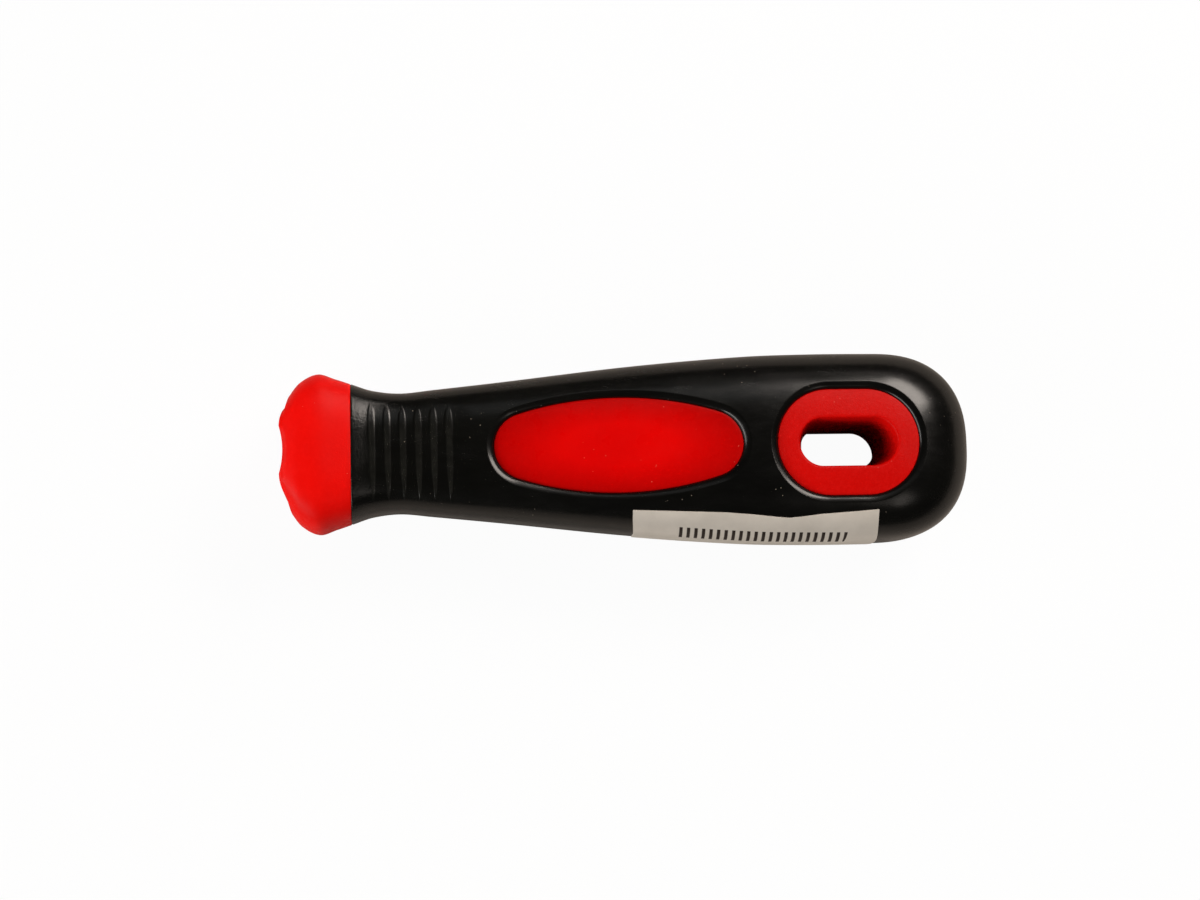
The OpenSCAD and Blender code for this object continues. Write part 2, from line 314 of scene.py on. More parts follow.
# ---------------------------------------------------------------- mesh building
class Solid:
    """Points, in millimetres from the horns, and faces of one closed piece."""

    def __init__(self):
        self.points, self.faces, self.count = [], [], 0

    def add(self, points):
        points = np.asarray(points, float)
        size = points[..., 0].size
        index = self.count + np.arange(size).reshape(points.shape[:-1])
        self.points.append(points.reshape(-1, 3))
        self.count += size
        return index

    def bridge(self, rows, closed=True, skip=()):
        """Quads between each row of indices and the next, but for those in skipped blocks."""
        rows = np.asarray(rows)
        if closed:
            rows = np.concatenate([rows, rows[:, :1]], 1)
        quads = np.stack([rows[:-1, :-1], rows[1:, :-1], rows[1:, 1:], rows[:-1, 1:]], -1)
        keep = np.ones(quads.shape[:2], bool)
        for first, last, left, right in skip:
            keep[first:last, left:right] = False
        self.faces.extend(quads[keep].tolist())

    def fan(self, loop, point):
        """Triangles from a loop to one point."""
        centre = int(self.add([point])[0])
        for a, b in zip(loop, np.roll(loop, -1)):
            self.faces.append([int(a), int(b), centre])

    def build(self, name, material):
        """Object of the faces and of the points that they use, in the frame's metres."""
        points = np.concatenate(self.points)
        points[:, 0] -= HORN_H
        used = np.unique([i for face in self.faces for i in face])
        number = np.zeros(len(points), int)
        number[used] = np.arange(len(used))
        points = points[used]
        faces = [[int(number[i]) for i in face] for face in self.faces]
        mesh = bpy.data.meshes.new(name)
        mesh.from_pydata((points * MM).tolist(), [], faces)
        shell = bmesh.new()
        shell.from_mesh(mesh)
        bmesh.ops.recalc_face_normals(shell, faces=shell.faces)
        shell.to_mesh(mesh)
        shell.free()
        mesh.shade_smooth()
        mesh.set_sharp_from_angle(angle=SHARP_ANGLE)
        mesh.materials.append(material)
        piece = bpy.data.objects.new(name, mesh)
        bpy.context.scene.collection.objects.link(piece)
        return piece


def stacked(plan, z):
    """Points from their x and y, at the heights z."""
    return np.concatenate([plan, np.broadcast_to(z, plan.shape[:-1])[..., None]], -1)


def upright(across, x):
    """Points from their y and z, at x."""
    return np.concatenate([np.broadcast_to(x, across.shape[:1])[:, None], across], 1)


# ---------------------------------------------------------------- soft grip
def rib_shape(k, y):
    """Middle x, half width and share of the full height of rib k at y."""
    share = k / (RIB_COUNT - 1)
    foot, top = mix(*RIB_FOOT, share), mix(*RIB_TOP, share)
    t = np.clip((y - foot) / (top - foot), 1e-6, 1 - 1e-6)
    half = mix(*RIB_HALF, share) * 1.12 * t**0.6 * (1 - t**9) ** 0.5  # pointed foot, round head
    middle = RIB_X + k * RIB_PITCH - RIB_SWAY * smooth(t, 0.0, 0.9)
    return middle, np.maximum(half, 0.1), np.clip(half / RIB_HALF[1], 0, 1)


def rib_lines(y):
    """Mesh lines across the ribs at each y, and each line's share of the ribs' height."""
    u = np.concatenate([-RIB_STEPS[:0:-1], RIB_STEPS])
    dome = 1 - smooth(np.abs(u), RIB_CREST, 1.0)
    x, crest = [], []
    for k in range(RIB_COUNT):
        middle, half, share = rib_shape(k, y)
        if k:
            gap = middle + half * u[0] - x[-1]
            x += [x[-1] + gap * step for step in (1 / 3, 2 / 3)]
            crest += [0 * y, 0 * y]
        x += [middle + half * v for v in u]
        crest += [share * v for v in dome]
    return np.array(x), np.array(crest)


def waist_scoop(x, y):
    """Depth of the shallow waist round the ribs."""
    run = smooth(x, JOINT_X + 0.3, RIB_X - 0.4) * (1 - smooth(x, RIB_ZONE_END - 4.5, RIB_ZONE_END))
    return SCOOP * run * (1 - smooth(np.abs(y), RIB_TOP[1] - 0.8, RIB_TOP[0] + 0.9))


def edge_drop(x):
    """Rounding of a part's edge along the joint between nose and grip."""
    return EDGE_DROP * np.clip(1 - np.abs(x - JOINT_X) / EDGE_RUN, 0, 1) ** 2


def grip_rings(inset, fine):
    """Ring positions of the grip, one column per section angle, the height of the ribs on them,
    and the ring numbers where the two window blocks start and end."""
    across = skin_point(RIB_X + 2 * RIB_PITCH, ANGLES)[:, 1]
    edge = JOINT_X + EDGE_RUN * EDGE_STEPS[:-1]
    start = JOINT_X + EDGE_RUN
    if fine:
        ribs, crest = rib_lines(across)
        ahead = start + (ribs[0] - start) * np.linspace(0, 1, AHEAD_RINGS + 1)[:-1, None]
        behind = ribs[-1] + (RIB_ZONE_END - ribs[-1]) * steps(BEHIND_RINGS)[:, None]
        zone = np.concatenate([ahead, ribs, behind])
        crest = np.concatenate([0 * ahead, crest, 0 * behind])
    else:
        zone = np.linspace(start, RIB_ZONE_END, INNER_RINGS)[:, None] + 0 * across
        crest = 0 * zone
    parts = [
        np.linspace(RIB_ZONE_END, BLOCK_X, OVAL_RINGS + 1)[1:],
        np.linspace(BLOCK_X, TAIL_X, EYE_RINGS + 1)[1:],
        TAIL_X + (HANDLE_LEN - inset - TAIL_X) * np.sin(np.radians(np.arange(3, 90, 3))),
    ]
    rest = np.concatenate(parts)[:, None] + 0 * across
    first = len(edge) + len(zone) - 1
    middle = first + len(parts[0])
    x = np.concatenate([edge[:, None] + 0 * across, zone, rest])
    height = np.zeros_like(x)
    height[len(edge):len(edge) + len(zone)] = crest
    return x, height, (first, middle, middle + len(parts[1]) + EYE_BLOCK_RING)


def lip_drop(share):
    """Share of a lip's depth: a sloping band with a soft start that turns down at its end."""
    band = (math.hypot(share, 0.12) - 0.12) / (math.hypot(1, 0.12) - 0.12)
    return 0.62 * band + 0.38 * share**6


def window_block(solid, grid, points, rows, columns, window, upper, inset, layers, lip):
    """Rings from the edge of a block of the grid in to a window, and over its rounded lip."""
    (first, last), (left, right) = rows, columns
    outline, size, centre_x = window
    right_column = right % grid.shape[1]
    loop = [(i, left) for i in range(first, last)]
    loop += [(last, j % grid.shape[1]) for j in range(left, right)]
    loop += [(i, right_column) for i in range(last, first, -1)]
    loop += [(first, j % grid.shape[1]) for j in range(right, left, -1)]
    i, j = np.array(loop).T
    plan = points[i, j, :2]
    s = matched(outline, *size, plan, centre_x)
    edge, normal = outline(s, *size)
    edge = edge + [centre_x, 0]
    side = 1 if upper else -1
    border = LIP_W if lip else 0.0
    made = [grid[i, j]]
    for t in layers:
        p = mix(plan, edge + border * normal, t)
        made.append(solid.add(stacked(p, side * face_z(p[:, 0], p[:, 1], inset))))
    if lip:
        for share in LIP_STEPS:
            p = edge + LIP_W * (1 - share) * normal
            z = face_z(p[:, 0], p[:, 1]) - LIP_DEPTH * lip_drop(share)
            made.append(solid.add(stacked(p, side * z)))
    solid.bridge(made)
    return made[-1]


def grip_skin(solid, inset, layers, outer):
    """One skin of the grip with its four window openings. Returns its front and window loops."""
    x, crest, (start, middle, end) = grip_rings(inset, outer)
    points = skin_point(x, ANGLES, inset)
    if outer:
        relief = waist_scoop(x, points[..., 1]) - RIB_H * crest
        points = skin_point(x, ANGLES, edge_drop(x) + relief)
    grid = solid.add(points)
    blocks = [(start, middle), (middle, end)]
    skip = [(*rows, *columns) for rows in blocks for columns in (UPPER_COLUMNS, LOWER_COLUMNS)]
    solid.bridge(grid, skip=skip)
    solid.fan(grid[-1], [HANDLE_LEN - inset, 0, 0])
    loops = [grid[0]]
    windows = [(oval, (OVAL_LEN, OVAL_W), OVAL_X), (slot, (EYE_LEN, EYE_W), EYE_X)]
    for rows, window in zip(blocks, windows):
        for columns in (UPPER_COLUMNS, LOWER_COLUMNS):
            upper = columns is UPPER_COLUMNS
            loops.append(window_block(solid, grid, points, rows, columns, window, upper, inset,
                                      layers, outer))
    return loops


def make_grip():
    """Outer and inner skin, joined at the front and round the windows."""
    solid = Solid()
    outer = grip_skin(solid, 0.0, 1 - (1 - steps(18)) ** 1.3, True)
    inner = grip_skin(solid, GRIP_WALL, steps(4), False)
    for a, b in zip(outer, inner):
        solid.bridge([a, b])
    return solid.build("grip_skin", MATERIALS["black_grip"])


# ---------------------------------------------------------------- red parts
EVEN_SHARES = np.arange(OUTLINE_POINTS) / OUTLINE_POINTS


def make_inlay(name, side):
    """Crowned oval pad that fills a window, down to the core."""
    solid = Solid()
    edge, normal = oval(EVEN_SHARES, OVAL_LEN, OVAL_W)
    rows = []
    # Side wall, rounded edge and crown
    for inset in (GRIP_WALL, RECESS + 4 * RED_EDGE, RECESS + RED_EDGE):
        p = edge + [OVAL_X, 0]
        rows.append(solid.add(stacked(p, side * face_z(p[:, 0], p[:, 1], inset))))
    for turn in np.radians([30, 60, 90]):
        p = edge - RED_EDGE * (1 - math.cos(turn)) * normal + [OVAL_X, 0]
        z = face_z(p[:, 0], p[:, 1], RECESS + RED_EDGE * (1 - math.sin(turn)))
        rows.append(solid.add(stacked(p, side * z)))
    inner = edge - RED_EDGE * normal
    for share in np.linspace(1, 0, 30)[1:-1]:
        p = inner * share + [OVAL_X, 0]
        rows.append(solid.add(stacked(p, side * face_z(p[:, 0], p[:, 1], RECESS))))
    solid.bridge(rows)
    solid.fan(rows[-1], [OVAL_X, 0, side * float(face_z(OVAL_X, 0.0, RECESS))])
    floor = [rows[0]]
    for share in np.linspace(1, 0, 12)[1:-1]:
        p = edge * share + [OVAL_X, 0]
        floor.append(solid.add(stacked(p, side * face_z(p[:, 0], p[:, 1], GRIP_WALL))))
    solid.bridge(floor)
    solid.fan(floor[-1], [OVAL_X, 0, side * float(face_z(OVAL_X, 0.0, GRIP_WALL))])
    return solid.build(name, MATERIALS["red_smooth"])


def make_eye():
    """Sleeve right through the tail, with a slot that narrows to a neck half way through."""
    solid = Solid()
    centre = np.array([EYE_X, 0])
    outer, outer_normal = slot(EVEN_SHARES, EYE_LEN, EYE_W)
    mouth, normal = slot(EVEN_SHARES, SLOT_LEN, SLOT_W)
    neck, _ = slot(EVEN_SHARES, *SLOT_NECK)
    rows = []

    def ring(plan, inset, side):
        p = plan + centre
        rows.append(solid.add(stacked(p, side * face_z(p[:, 0], p[:, 1], inset))))

    for side in (1, -1):
        half = len(rows)
        # Rounded outer edge, broad face and rounded mouth
        for turn in np.radians([0, 30, 60, 90]):
            ring(outer - RED_EDGE * (1 - math.cos(turn)) * outer_normal,
                 RECESS + RED_EDGE * (1 - math.sin(turn)), side)
        start = outer - RED_EDGE * outer_normal
        stop = mouth + SLOT_EDGE * normal
        for share in steps(15):
            ring(mix(start, stop, share), RECESS, side)
        for turn in np.radians(np.linspace(0, 90, 8)[1:]):
            p = mouth + SLOT_EDGE * (1 - math.sin(turn)) * normal + centre
            level = face_z(p[:, 0], p[:, 1], RECESS) - SLOT_EDGE * (1 - math.cos(turn))
            rows.append(solid.add(stacked(p, side * level)))
        # The walls follow the upper half, and the lower half runs back from them
        if side == 1:
            for level in np.linspace(1, -1, 15)[1:-1]:
                plan = mix(neck, mouth, math.hypot(level, NECK_BEND)) + centre
                height = face_z(plan[:, 0], plan[:, 1], RECESS) - SLOT_EDGE
                rows.append(solid.add(stacked(plan, level * height)))
        else:
            rows[half:] = rows[half:][::-1]
    rows.append(rows[0])
    solid.bridge(rows)
    return solid.build("eye_sleeve", MATERIALS["red_matt"])


def front_x(y):
    """Front face of the nose: hollow between the horns, falling away outside them."""
    scallop_r = (HORN_GAP**2 / 4 + HORN_H**2) / (2 * HORN_H)
    inside = HORN_H - scallop_r + np.sqrt(scallop_r**2 - np.minimum(np.abs(y), HORN_GAP / 2) ** 2)
    outside = SHOULDER_DROP * np.maximum(np.abs(y) - HORN_GAP / 2, 0) ** 2
    return inside + outside


def make_nose():
    """Red collar with its ridge, its two horns and the socket's mouth."""
    solid = Solid()
    section = skin_point(RIM_R, ANGLES)[:, 1:]
    out = section / np.linalg.norm(section, axis=1, keepdims=True)
    start = front_x(section[:, 0]) + RIM_R
    rows = []
    bore = np.arctan2(section[:, 1], section[:, 0])
    circle = np.stack([np.cos(bore), np.sin(bore)], -1)
    # Socket and its lead-in
    for x in np.linspace(JOINT_X, HORN_H + LEAD_IN, 12):
        rows.append(solid.add(upright(circle * SOCKET_R, x)))
    for turn in np.radians([30, 60, 90]):
        r = SOCKET_R + (MOUTH_R - SOCKET_R) * (1 - math.cos(turn))
        rows.append(solid.add(upright(circle * r, HORN_H + LEAD_IN * (1 - math.sin(turn)))))
    # Front face and its rounding into the sides
    rim = section - RIM_R * out
    for share in steps(17):
        p = mix(circle * MOUTH_R, rim, share)
        settle = smooth(share, 0, 0.35)
        rows.append(solid.add(upright(p, mix(HORN_H, front_x(p[:, 0]), settle))))
    for turn in np.radians([18, 36, 54, 72]):
        p = rim + RIM_R * math.sin(turn) * out
        rows.append(solid.add(upright(p, front_x(p[:, 0]) + RIM_R * (1 - math.cos(turn)))))
    # Sides, and back against the grip
    edge = JOINT_X - EDGE_RUN * EDGE_STEPS[::-1]
    side = np.linspace(0, 1, 34)[:-1] * (edge[0] - RIM_R) + RIM_R
    for x in np.concatenate([side, edge]):
        level = x + (start - RIM_R) * (1 - smooth(x, RIM_R, 3.0))
        rows.append(solid.add(skin_point(level, ANGLES, edge_drop(level))))
    last = skin_point(JOINT_X, ANGLES, EDGE_DROP)[:, 1:]
    for share in np.linspace(0, 1, 6)[1:-1]:
        rows.append(solid.add(upright(mix(last, circle * SOCKET_R, share), JOINT_X)))
    rows.append(rows[0])
    solid.bridge(rows)
    return solid.build("nose_cap", MATERIALS["red_nose"])


# ---------------------------------------------------------------- label
def make_label():
    """Paper label over the -Y edge, with an upper edge that dips and rounded lower corners."""
    solid = Solid()
    edge_x, edge_y = LABEL_EDGE.T
    x = np.linspace(edge_x[0], edge_x[-1], LABEL_COLUMNS)[:, None]
    share = (x - edge_x[0]) / (edge_x[-1] - edge_x[0])
    top_y = np.interp(x, edge_x, edge_y)
    ratio = np.abs(top_y) / half_size(x, WIDTH, 0.0)
    first = math.pi - np.arccos(ratio ** (along(x, SQUARENESS) / 2))
    last = math.pi + np.radians(mix(*LABEL_FOOT, share))
    t = np.linspace(0, 1, LABEL_ROWS)[None, :]
    angle = mix(first, last, t)
    # Lower corners: the columns near the foot are drawn in to a quarter circle
    path = skin_point(x, angle)
    step = np.linalg.norm(np.diff(path, axis=1), axis=2)
    below = np.concatenate([np.cumsum(step[:, ::-1], axis=1)[:, ::-1], 0 * x], 1)
    rise = np.clip(1 - below / LABEL_CORNER, 0, 1)
    pull = LABEL_CORNER * (1 - np.sqrt(1 - rise**2))
    middle = (edge_x[0] + edge_x[-1]) / 2
    half = (edge_x[-1] - edge_x[0]) / 2
    x = middle + (x - middle) * (1 - pull / half) + LABEL_LEAN * smooth(t, 0, 0.9) * t**0.3
    outer = solid.add(skin_point(x, angle, -LABEL_GAP - LABEL_T))
    inner = solid.add(skin_point(x, angle, -LABEL_GAP))
    solid.bridge(outer, closed=False)
    solid.bridge(inner, closed=False)

    def rim(index):
        return np.concatenate([index[0, :-1], index[:-1, -1], index[-1, :0:-1], index[:0:-1, 0]])

    solid.bridge([rim(outer), rim(inner)])
    return solid.build("label_strip", MATERIALS["label_paper"])


# ---------------------------------------------------------------- materials
class Shader:
    """Short way to write a node material with one Principled shader."""

    def __init__(self, name, **values):
        self.material = bpy.data.materials.new(name)
        self.material.use_nodes = True
        self.nodes = self.material.node_tree.nodes
        self.links = self.material.node_tree.links
        self.shader = self.nodes["Principled BSDF"]
        for socket, value in values.items():
            self.shader.inputs[socket.replace("_", " ")].default_value = value
        self.place = self.node("ShaderNodeTexCoord").outputs["Object"]

    def node(self, kind, **inputs):
        """New node with its inputs set, each by its name or as i0, i1 and so on by its number."""
        made = self.nodes.new(kind)
        for key, value in inputs.items():
            self.set(made.inputs[int(key[1:]) if key[1:].isdigit() else key.replace("_", " ")], value)
        return made

    def set(self, socket, value):
        """Link a socket, or set a value."""
        if isinstance(value, bpy.types.NodeSocket):
            self.links.new(value, socket)
        else:
            socket.default_value = value

    def noise(self, scale, detail=2.0, rough=0.5, place=None):
        made = self.node("ShaderNodeTexNoise", Vector=place or self.place, Scale=scale,
                         Detail=detail, Roughness=rough)
        return made.outputs["Fac"]

    def split(self):
        """The place's own x, y and z, in metres."""
        return self.node("ShaderNodeSeparateXYZ", Vector=self.place).outputs

    def cells(self, scale):
        made = self.node("ShaderNodeTexVoronoi", Vector=self.place, Scale=scale)
        return made.outputs["Distance"]

    def stretched(self, *scale):
        return self.node("ShaderNodeMapping", Vector=self.place, Scale=scale).outputs["Vector"]

    def ramp(self, value, low, high, start=0.0, end=1.0):
        """value from low..high to start..end, clamped."""
        made = self.node("ShaderNodeMapRange", Value=value)
        for key, number in zip(("From Min", "From Max", "To Min", "To Max"), (low, high, start, end)):
            made.inputs[key].default_value = number
        return made.outputs["Result"]

    def math(self, operation, a, b=0.0):
        made = self.node("ShaderNodeMath", i0=a, i1=b)
        made.operation = operation
        return made.outputs["Value"]

    def blend(self, share, a, b):
        """Colour between a and b. The node's inputs 6 and 7 are its two colours."""
        made = self.nodes.new("ShaderNodeMix")
        made.data_type = "RGBA"
        self.set(made.inputs["Factor"], share)
        self.set(made.inputs[6], a)
        self.set(made.inputs[7], b)
        return made.outputs[2]

    def bump(self, height, distance, strength=1.0, normal=None):
        made = self.node("ShaderNodeBump", Height=height, Distance=distance, Strength=strength)
        if normal is not None:
            self.set(made.inputs["Normal"], normal)
        return made.outputs["Normal"]

    def out(self, **sockets):
        for socket, value in sockets.items():
            self.set(self.shader.inputs[socket.replace("_", " ")], value)
        return self.material


def colour(r, g, b):
    """Linear colour from sRGB steps of 255."""
    def linear(v):
        v /= 255
        return v / 12.92 if v <= 0.04045 else ((v + 0.055) / 1.055) ** 2.4

    return linear(r), linear(g), linear(b), 1.0


def speckled(shader, base, dust, scale, few):
    """base with small specks of dust, only where a slow noise is above the level few."""
    speck = shader.ramp(shader.cells(scale), 0.05, 0.1, 1.0, 0.0)
    patch = shader.ramp(shader.noise(160, 1.0), few, few + 0.03)
    return shader.blend(shader.math("MULTIPLY", speck, patch), base, dust)


def red_plastic(name, tone, deep, shine, rough, grain, grain_size, mottle, painted_shade=None):
    """Hard red plastic: slow drift from tone to deep, fine spark-eroded grain and a few specks.
    grain is the grain's depth in metres and grain_size the scale of its noise, mottle is the most
    that paler spots lift the colour, and the last argument gives the share of painted shade, a darker
    tone."""
    shader = Shader(name, Specular_IOR_Level=shine)
    drift = shader.ramp(shader.noise(60, 3.0), 0.3, 0.7)
    base = shader.blend(drift, tone, deep)
    # painted shade: a darker tone, mixed in by the given share
    if painted_shade:
        shaded_tone = [0.2 * v for v in deep[:3]] + [1.0]
        base = shader.blend(painted_shade(shader), base, shaded_tone)
    base = speckled(shader, base, colour(250, 120, 105), 1100, 0.6)
    fine = shader.noise(grain_size, 3.0, 0.6)
    lift = [min(1.0, 1.12 * v + 0.004) for v in tone[:3]] + [1.0]
    spots = shader.ramp(shader.noise(1500, 4.0, 0.7), 0.45, 0.75, 0.0, mottle)
    base = shader.blend(spots, base, lift)
    wave = shader.noise(220, 2.0)
    normal = shader.bump(wave, 0.00006, 0.6)
    normal = shader.bump(fine, grain, 1.0, normal)
    dull = shader.ramp(shader.noise(340, 4.0), 0.3, 0.7, rough - 0.05, rough + 0.06)
    return shader.out(Base_Color=base, Roughness=dull, Normal=normal)


FLATTENED = 1000  # a scale so large that nothing is left of the height


def painted_rim_shade(shader):
    """Painted shade: deeper colour towards the oval's rim, by the place in plan alone."""
    centre = shader.node("ShaderNodeMapping", Vector=shader.place)
    centre.vector_type = "TEXTURE"
    centre.inputs["Location"].default_value = ((OVAL_X - HORN_H) * MM, 0, 0)
    centre.inputs["Scale"].default_value = (OVAL_LEN / 2 * MM, OVAL_W / 2 * MM, FLATTENED)
    length = shader.node("ShaderNodeVectorMath", Vector=centre.outputs["Vector"])
    length.operation = "LENGTH"
    return shader.ramp(length.outputs["Value"], 0.45, 1.02, 0.0, 0.5)


def painted_bore_shade(shader):
    """Painted shade: deeper colour down inside the slot."""
    height = shader.math("ABSOLUTE", shader.split()["Z"])
    return shader.ramp(height, BORE_PAINTED_SHADE[0] * MM, BORE_PAINTED_SHADE[1] * MM, 0.95, 0.0)


def rib_painted_sheen(shader):
    """Share of painted sheen: a greyer tone on the crests of the ribs."""
    x, y, _ = shader.split()
    sway = shader.ramp(y, RIB_FOOT[0] * MM, RIB_TOP[1] * MM, 0.0, RIB_SWAY * MM)
    ahead = shader.math("SUBTRACT", shader.math("ADD", x, sway), (RIB_X - HORN_H) * MM)
    count = shader.math("MULTIPLY", ahead, 1 / (RIB_PITCH * MM))
    turn = shader.math("SUBTRACT", shader.math("FRACT", shader.math("ADD", count, 0.5)), 0.5)
    slim = shader.ramp(y, RIB_FOOT[0] * MM, (RIB_FOOT[0] + RIB_SLIM) * MM, 0.25, 1.0)
    aside = shader.math("DIVIDE", shader.math("ABSOLUTE", turn), slim)
    sheen = shader.ramp(aside, *RIB_SHEEN_SPAN, 1.0, 0.0)
    sheen = shader.math("MULTIPLY", sheen, shader.math("GREATER_THAN", count, -0.5))
    sheen = shader.math("MULTIPLY", sheen, shader.math("LESS_THAN", count, RIB_COUNT - 0.5))
    for end, run in ((RIB_TOP[1], RIB_FADE[0]), (RIB_FOOT[0], -RIB_FADE[1])):
        sheen = shader.math("MULTIPLY", sheen, shader.ramp(y, (end - run) * MM, end * MM, 1.0, 0.0))
    patchy = shader.ramp(shader.noise(700, 3.0), 0.35, 0.65, 0.5, 1.0)
    return shader.math("MULTIPLY", sheen, patchy)


def black_rubber():
    """Soft black grip: satin, with faint scuffs, drift in its gloss, a little dust and painted sheen
    on the crests of the ribs.
    """
    shader = Shader("black_grip", Specular_IOR_Level=0.36)
    drift = shader.ramp(shader.noise(70, 3.0), 0.3, 0.7)
    base = shader.blend(drift, colour(4, 4, 3), colour(8, 8, 6))
    # painted sheen: a greyer tone on the crests of the ribs
    base = shader.blend(rib_painted_sheen(shader), base, colour(27, 27, 24))
    base = speckled(shader, base, colour(120, 112, 100), 800, 0.58)
    streaks = shader.noise(500, 5.0, 0.65, shader.stretched(0.35, 1.0, 1.0))
    dull = shader.ramp(streaks, 0.3, 0.7, 0.2, 0.29)
    normal = shader.bump(shader.noise(240, 2.0), 0.00005, 0.5)
    normal = shader.bump(shader.noise(6000, 2.0), 0.000003, 0.8, normal)
    joint = JOINT_X - HORN_H
    beside_nose = shader.ramp(shader.split()["X"], joint * MM, (joint + SCUFF_RUN) * MM, 1.0, 0.0)
    scuffs = shader.math("MULTIPLY", shader.noise(2200, 3.0, 0.7), beside_nose)
    normal = shader.bump(scuffs, 0.00009, 0.8, normal)
    return shader.out(Base_Color=base, Roughness=dull, Normal=normal)


def label_paper():
    """Matt grey-white label stock with a soiled drift and a row of plain, even bars."""
    shader = Shader("label_paper", Specular_IOR_Level=0.25, Roughness=0.62)
    drift = shader.ramp(shader.noise(130, 4.0, 0.6), 0.3, 0.7)
    base = shader.blend(drift, colour(222, 215, 205), colour(205, 198, 188))
    x, _, z = shader.split()
    across = shader.math("ADD", x, shader.math("MULTIPLY", z, BAR_LEAN))
    turn = shader.math("FRACT", shader.math("MULTIPLY", across, 1 / (BAR_PITCH * MM)))
    aside = shader.math("ABSOLUTE", shader.math("SUBTRACT", turn, 0.5))
    bar = shader.ramp(aside, *BAR_SIDE, 1.0, 0.0)
    for value, (low, high) in ((x, BAR_X), (z, BAR_Z)):
        bar = shader.math("MULTIPLY", bar, shader.math("GREATER_THAN", value, low * MM))
        bar = shader.math("MULTIPLY", bar, shader.math("LESS_THAN", value, high * MM))
    base = shader.blend(bar, base, colour(38, 28, 24))
    fibres = shader.noise(2600, 3.0, 0.7)
    normal = shader.bump(fibres, 0.00002, 0.6)
    return shader.out(Base_Color=base, Normal=normal)


MATERIALS = {
    "red_nose": red_plastic(
        "red_nose", colour(253, 11, 4), colour(242, 9, 4), shine=0.1, rough=0.38,
        grain=0.00005, grain_size=4200, mottle=0.5),
    # the eye, with painted shade down inside its slot
    "red_matt": red_plastic(
        "red_matt", colour(216, 8, 4), colour(202, 6, 3), shine=0.08, rough=0.38,
        grain=0.00005, grain_size=4200, mottle=0.6, painted_shade=painted_bore_shade),
    # the pads, with painted shade towards their rim
    "red_smooth": red_plastic(
        "red_smooth", colour(236, 4, 2), colour(226, 3, 2), shine=0.08, rough=0.3,
        grain=0.000002, grain_size=3000, mottle=0.12, painted_shade=painted_rim_shade),
    "red_core": red_plastic(
        "red_core", colour(205, 14, 9), colour(190, 11, 7), shine=0.2, rough=0.5,
        grain=0.00002, grain_size=4000, mottle=0.5),
    "black_grip": black_rubber(),
    "label_paper": label_paper(),
}


# ---------------------------------------------------------------- pieces
def place(piece, node, slot):
    """Put a piece on the one body in place of its CAD node, which is hidden. slot is not used."""
    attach(piece, "root")
    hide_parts(node)


place(make_grip(), "grip_shell", "black_grip")
place(make_nose(), "nose_collar", "red_matt")
place(make_inlay("upper_pad", 1), "oval_inlay_upper", "red_smooth")
place(make_inlay("lower_pad", -1), "oval_inlay_lower", "red_smooth")
place(make_eye(), "hang_eye", "red_matt")
place(make_label(), "paper_label", "label_paper")
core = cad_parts["core_spine"]
core.data.materials.clear()
core.data.materials.append(MATERIALS["red_core"])


# ---------------------------------------------------------------- floor, light and camera
FLOOR_HALF = 3.0  # metres
FLOOR_GLOW = 0.96  # share of the floor's white that the camera sees without any shadow
FLOOR_TONE = 0.5  # the floor as it lights the handle
WARM, PLAIN, COOL = (1.0, 0.91, 0.83), (1.0, 0.98, 0.95), (0.95, 1.0, 1.0)


def make_floor(half, z):
    """Pale floor that looks white and keeps a faint shadow."""
    mesh = bpy.data.meshes.new("studio_floor")
    corners = ((-half, -half), (half, -half), (half, half), (-half, half))
    mesh.from_pydata([(x, y, z) for x, y in corners], [], [(0, 1, 2, 3)])
    floor = bpy.data.objects.new("studio_floor", mesh)
    bpy.context.scene.collection.objects.link(floor)
    material = bpy.data.materials.new("studio_floor")
    material.use_nodes = True
    nodes, links = material.node_tree.nodes, material.node_tree.links
    nodes.clear()

    def paint(level, tint):
        made = nodes.new("ShaderNodeBsdfDiffuse")
        made.inputs["Color"].default_value = [level * v for v in tint] + [1]
        return made.outputs[0]

    def joined(share, a, b):
        made = nodes.new("ShaderNodeMixShader")
        if isinstance(share, bpy.types.NodeSocket):
            links.new(share, made.inputs[0])
        else:
            made.inputs[0].default_value = share
        links.new(a, made.inputs[1])
        links.new(b, made.inputs[2])
        return made.outputs[0]

    glow = nodes.new("ShaderNodeEmission")
    path = nodes.new("ShaderNodeLightPath")
    seen = joined(FLOOR_GLOW, paint(0.95, (1, 1, 1)), glow.outputs[0])
    whole = joined(path.outputs["Is Camera Ray"], paint(FLOOR_TONE, WARM), seen)
    end = nodes.new("ShaderNodeOutputMaterial")
    links.new(whole, end.inputs["Surface"])
    mesh.materials.append(material)


def make_lamp(name, azimuth, elevation, distance, size, power, tint, aim_x=0.06, beam=180):
    """Soft oblong lamp that faces the handle at aim_x, in metres and watts. Its azimuth, its
    elevation and the spread of its beam are in degrees."""
    data = bpy.data.lights.new(name, "AREA")
    data.shape = "RECTANGLE"
    data.size, data.size_y = size
    data.energy = power
    data.color = tint
    data.spread = math.radians(beam)
    a, e = math.radians(azimuth), math.radians(elevation)
    out = Vector((math.cos(a) * math.cos(e), math.sin(a) * math.cos(e), math.sin(e)))
    lamp = bpy.data.objects.new(name, data)
    lamp.location = Vector((aim_x, 0, 0)) + out * distance
    lamp.rotation_mode = "QUATERNION"
    lamp.rotation_quaternion = out.to_track_quat("Z", "Y")
    bpy.context.scene.collection.objects.link(lamp)


def from_horns(x, y, z):
    """Place in the frame, from millimetres behind the horns."""
    return Vector((x - HORN_H, y, z)) * MM


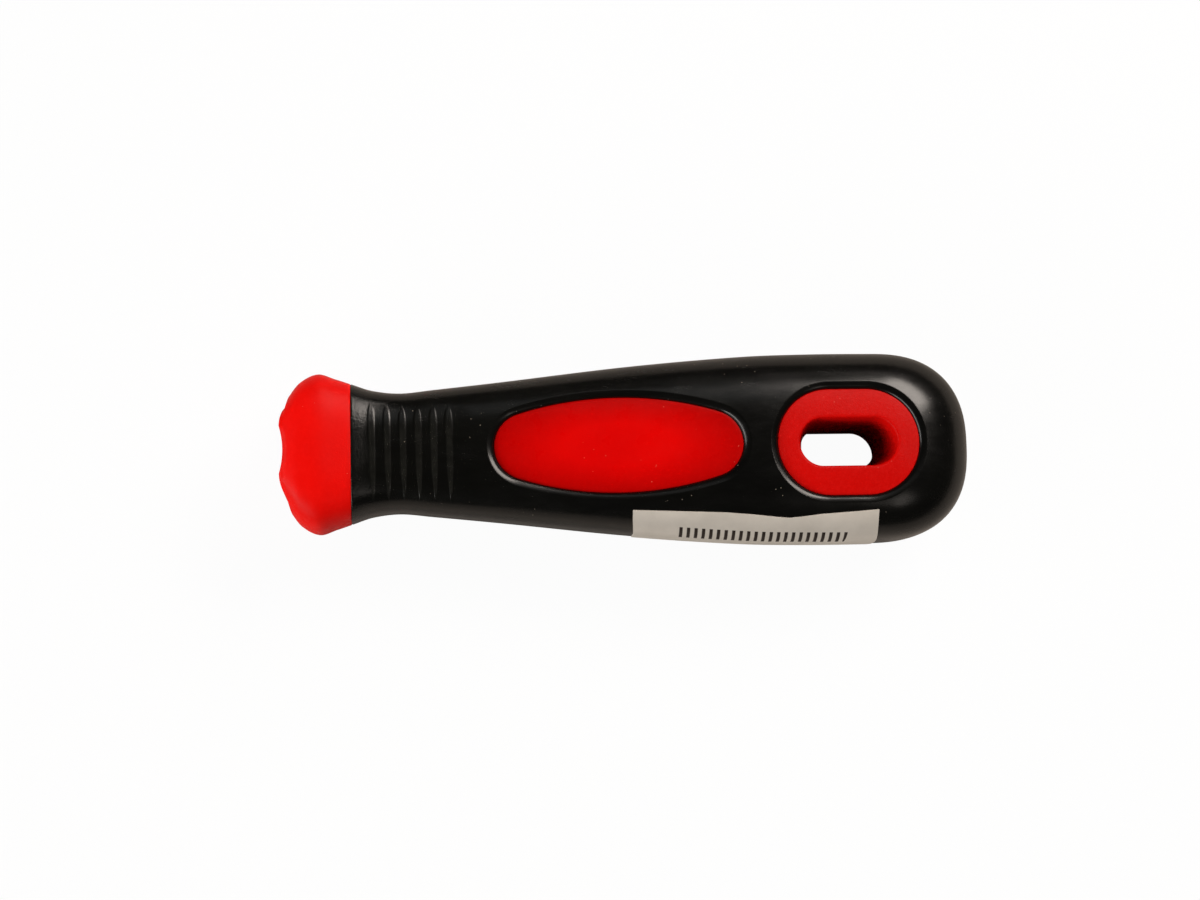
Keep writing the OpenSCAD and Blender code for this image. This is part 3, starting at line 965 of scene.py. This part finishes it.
def make_world(strength):
    """Dim room that shows white behind the object."""
    world = bpy.data.worlds.new("studio")
    world.use_nodes = True
    nodes, links = world.node_tree.nodes, world.node_tree.links
    room = nodes["Background"]
    room.inputs["Color"].default_value = (1.0, 0.98, 0.95, 1)
    room.inputs["Strength"].default_value = strength
    white = nodes.new("ShaderNodeBackground")
    white.inputs["Color"].default_value = (1, 1, 1, 1)
    path = nodes.new("ShaderNodeLightPath")
    both = nodes.new("ShaderNodeMixShader")
    links.new(path.outputs["Is Camera Ray"], both.inputs[0])
    links.new(room.outputs[0], both.inputs[1])
    links.new(white.outputs[0], both.inputs[2])
    links.new(both.outputs[0], nodes["World Output"].inputs["Surface"])
    bpy.context.scene.world = world


def make_camera(position, target, roll, lens):
    """Camera high over the nose half, looking down on the broad face. roll is in degrees."""
    data = bpy.data.cameras.new("camera")
    data.lens = lens
    data.sensor_width = 36
    data.clip_start = 0.01
    camera = bpy.data.objects.new("camera", data)
    ahead = (target - position).normalized()
    right = ahead.cross(Vector((0, 1, 0))).normalized()
    up = right.cross(ahead)
    turn = math.radians(roll)
    x_axis = right * math.cos(turn) + up * math.sin(turn)
    y_axis = -right * math.sin(turn) + up * math.cos(turn)
    camera.matrix_world = Matrix.Translation(position) @ Matrix(
        (x_axis, y_axis, -ahead)).transposed().to_4x4()
    bpy.context.scene.collection.objects.link(camera)
    bpy.context.scene.camera = camera


make_floor(FLOOR_HALF, CAD_LOW.z)
make_lamp("key", 46, 43, distance=0.75, size=(0.42, 0.25), power=4.6, tint=WARM)
make_lamp("neck_light", 69, 26, distance=0.75, size=(0.09, 0.14), power=0.0048, tint=WARM,
          aim_x=0.006, beam=10)
make_lamp("top_fill", 82, 54, distance=0.8, size=(0.4, 0.3), power=0.15, tint=COOL)
make_lamp("left_fill", 208, 20, distance=1.3, size=(1.8, 0.4), power=17.0, tint=PLAIN)
make_lamp("low_fill", -50, 49, distance=0.9, size=(0.2, 0.2), power=0.3, tint=WARM)
make_world(strength=0.045)
make_camera(from_horns(18.6, -48.7, 415), from_horns(55.33, 0.37, 0), roll=-1.25, lens=72.0)
bpy.context.scene.view_settings.view_transform = "Standard"
